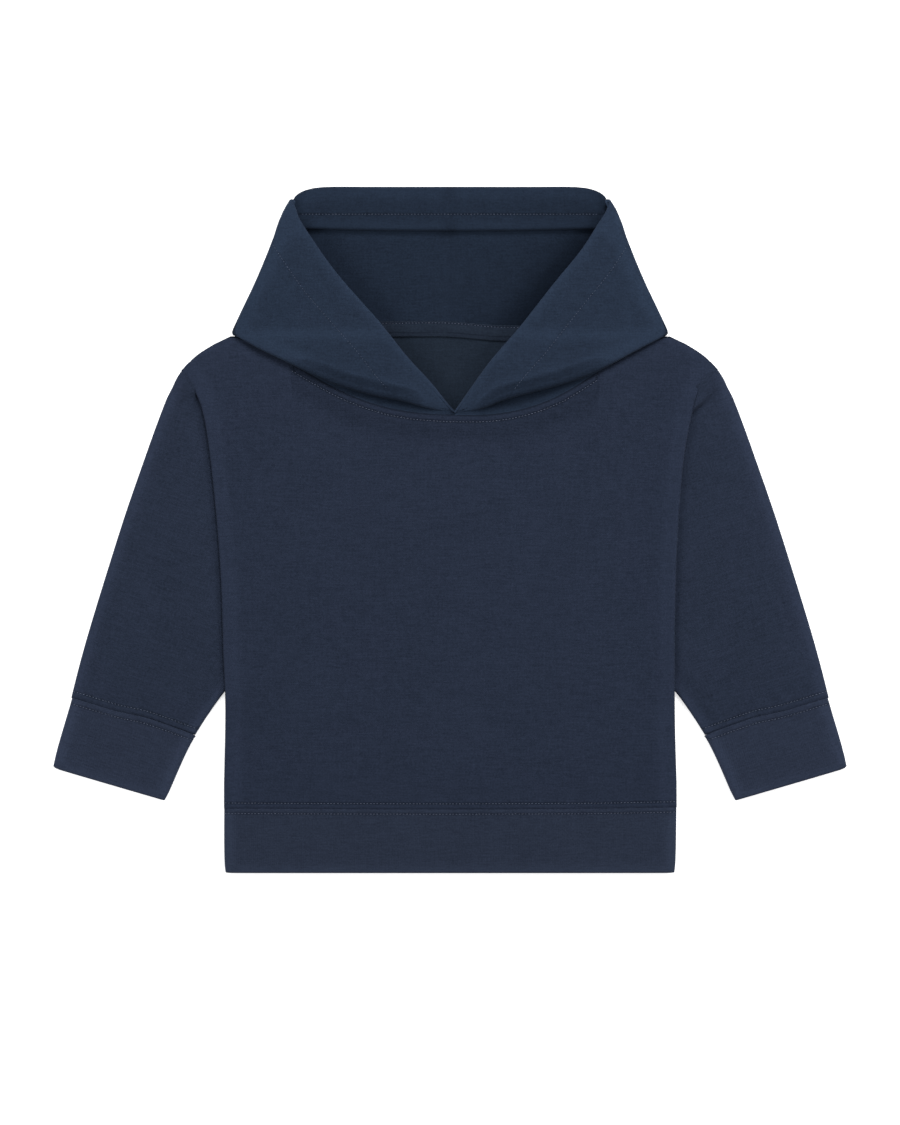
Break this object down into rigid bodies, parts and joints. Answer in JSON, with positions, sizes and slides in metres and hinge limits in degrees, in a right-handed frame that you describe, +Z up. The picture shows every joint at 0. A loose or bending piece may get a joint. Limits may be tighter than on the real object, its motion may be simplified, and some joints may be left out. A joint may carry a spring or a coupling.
{
  "type": "toddler hoodie",
  "caption": "Toddler pullover hoodie in navy sweatshirt jersey, laid flat on its back with the hood open, cuffs and a hem band.",
  "frame": {"origin": "centre of the bounding box in plan, at the underside that rests on the surface", "axes": "+X across the body towards the sleeve on the right of the picture, +Y from the hem to the hood, +Z up from the surface"},
  "size_m": [0.5656, 0.489, 0.0152],
  "materials": {
    "body_jersey": "matte brushed sweatshirt jersey",
    "back_jersey": "matte brushed sweatshirt jersey",
    "sleeve_jersey": "matte brushed sweatshirt jersey",
    "hood_jersey": "matte brushed sweatshirt jersey",
    "band_jersey": "matte fine rib",
    "tape": "matte twill tape"
  },
  "bodies": {
    "root": {"back": "back_jersey", "front": "body_jersey", "sleeve_left": "sleeve_jersey", "sleeve_right": "sleeve_jersey", "cuff_left": "band_jersey", "cuff_right": "band_jersey", "hem_band": "band_jersey", "hood_left": "hood_jersey", "hood_right": "hood_jersey", "neck_tape": "tape"}
  },
  "joints": []
}
